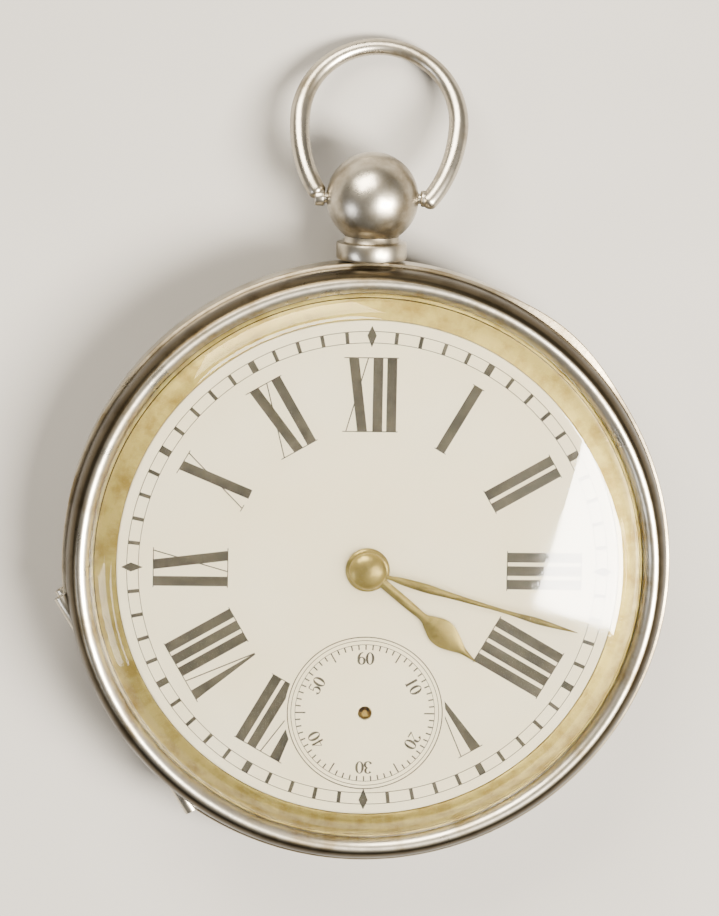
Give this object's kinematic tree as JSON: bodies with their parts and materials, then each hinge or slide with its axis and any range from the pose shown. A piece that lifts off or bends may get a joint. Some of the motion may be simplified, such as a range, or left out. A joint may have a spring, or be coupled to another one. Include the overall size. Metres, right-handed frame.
{
  "type": "open face pocket watch",
  "caption": "Key-wound open-face pocket watch: silver case with hinged glass bezel and back, ball pendant and bow, enamel Roman dial, two hands and a lever movement.",
  "frame": {"origin": "middle of the flat on the back cover, which the watch lies on", "axes": "+Z out of the dial, +Y to twelve o'clock and the pendant, +X to three o'clock"},
  "size_m": [0.0525, 0.07, 0.0137],
  "materials": {
    "silver": "polished, worn",
    "gilt": "fire gilt, matt",
    "brass": "polished",
    "steel": "polished",
    "enamel": "glossy",
    "glass": "polished"
  },
  "bodies": {
    "case": {"case_middle": "silver", "pendant_neck": "silver", "pendant_ball": "silver", "inner_dome": "silver", "bezel_hinge_pin": "silver", "back_hinge_pin": "silver", "dial": "enamel", "dial_rim": "gilt", "pillar_plate": "gilt", "top_plate": "gilt", "pillar_1": "gilt", "pillar_2": "gilt", "pillar_3": "gilt", "pillar_4": "gilt", "plate_screw_1": "steel", "plate_screw_2": "steel", "plate_screw_3": "steel", "plate_screw_4": "steel", "case_screw_1": "steel", "case_screw_2": "steel", "balance_cock": "gilt", "cock_screw": "steel", "hairspring": "steel", "click_spring": "steel", "click_screw": "steel", "minute_wheel_post": "steel"},
    "bow": {"bow": "silver"},
    "bezel": {"bezel": "silver", "crystal": "glass"},
    "back": {"back_cover": "silver"},
    "barrel": {"barrel": "brass", "barrel_cover": "brass", "mainspring": "steel"},
    "winding": {"barrel_arbor": "steel", "ratchet_wheel": "steel"},
    "click": {"click": "steel"},
    "centre": {"centre_wheel": "brass", "cannon_pinion": "steel", "minute_hand": "gilt"},
    "third": {"third_wheel": "brass"},
    "fourth": {"fourth_wheel": "brass"},
    "escape": {"escape_wheel": "steel"},
    "lever": {"pallet_lever": "steel"},
    "balance": {"balance_wheel": "gilt"},
    "hour": {"hour_wheel": "brass", "hour_hand": "gilt"},
    "minute_work": {"minute_wheel": "brass"},
    "regulator": {"regulator": "steel"}
  },
  "joints": [
    {"name": "bow_swing", "type": "hinge", "parent": "case", "child": "bow", "pos_m": [0, 0.0312, 0.0069], "axis": [1, 0, 0], "range_deg": [-105, 150]},
    {"name": "bezel_hinge", "type": "hinge", "parent": "case", "child": "bezel", "pos_m": [-0.02029, -0.01244, 0.0084], "axis": [0.5225, -0.8526, 0], "range_deg": [0, 88]},
    {"name": "back_hinge", "type": "hinge", "parent": "case", "child": "back", "pos_m": [-0.02029, -0.01244, 0.005], "axis": [-0.5225, 0.8526, 0], "range_deg": [0, 88]},
    {"name": "seconds_arbor_turn", "type": "hinge", "parent": "case", "child": "fourth", "pos_m": [0, -0.01245, 0.007], "axis": [0, 0, -1], "continuous": true},
    {"name": "centre_arbor_turn", "type": "hinge", "parent": "case", "child": "centre", "pos_m": [0, 0, 0.007], "axis": [0, 0, -1], "continuous": true},
    {"name": "third_arbor_turn", "type": "hinge", "parent": "case", "child": "third", "pos_m": [0.00453, -0.00693, 0.007], "axis": [0, 0, -1], "continuous": true},
    {"name": "escape_turn", "type": "hinge", "parent": "case", "child": "escape", "pos_m": [-0.00616, -0.01045, 0.007], "axis": [0, 0, -1], "continuous": true},
    {"name": "barrel_turn", "type": "hinge", "parent": "case", "child": "barrel", "pos_m": [-0.00359, 0.00987, 0.007], "axis": [0, 0, -1], "continuous": true},
    {"name": "hour_hand_turn", "type": "hinge", "parent": "case", "child": "hour", "pos_m": [0, 0, 0.007], "axis": [0, 0, -1], "continuous": true},
    {"name": "minute_wheel_turn", "type": "hinge", "parent": "case", "child": "minute_work", "pos_m": [0.00432, 0, 0.007], "axis": [0, 0, -1], "continuous": true},
    {"name": "winding_turn", "type": "hinge", "parent": "case", "child": "winding", "pos_m": [-0.00359, 0.00987, 0.007], "axis": [0, 0, -1], "continuous": true},
    {"name": "click_lift", "type": "hinge", "parent": "case", "child": "click", "pos_m": [0.00071, 0.00827, 0.007], "axis": [0, 0, -1], "range_deg": [0, 10], "stiffness_Nm_per_rad": 0.0002},
    {"name": "balance_swing", "type": "hinge", "parent": "case", "child": "balance", "pos_m": [-0.0086, -0.0032, 0.007], "axis": [0, 0, -1], "range_deg": [-270, 270]},
    {"name": "lever_rock", "type": "hinge", "parent": "case", "child": "lever", "pos_m": [-0.00726, -0.00718, 0.007], "axis": [0, 0, -1], "range_deg": [-5.2, 5.2]},
    {"name": "regulator_turn", "type": "hinge", "parent": "case", "child": "regulator", "pos_m": [-0.0086, -0.0032, 0.007], "axis": [0, 0, -1], "range_deg": [-20, 20]}
  ],
  "couplings": [
    {"joint": "third_arbor_turn", "follows": "seconds_arbor_turn", "ratio": -0.13333},
    {"joint": "centre_arbor_turn", "follows": "seconds_arbor_turn", "ratio": 0.016667},
    {"joint": "barrel_turn", "follows": "seconds_arbor_turn", "ratio": -0.0027778},
    {"joint": "escape_turn", "follows": "seconds_arbor_turn", "ratio": -8},
    {"joint": "hour_hand_turn", "follows": "seconds_arbor_turn", "ratio": 0.0013889},
    {"joint": "minute_wheel_turn", "follows": "seconds_arbor_turn", "ratio": -0.0055556},
    {"joint": "lever_rock", "follows": "balance_swing", "ratio": -0.018519}
  ]
}
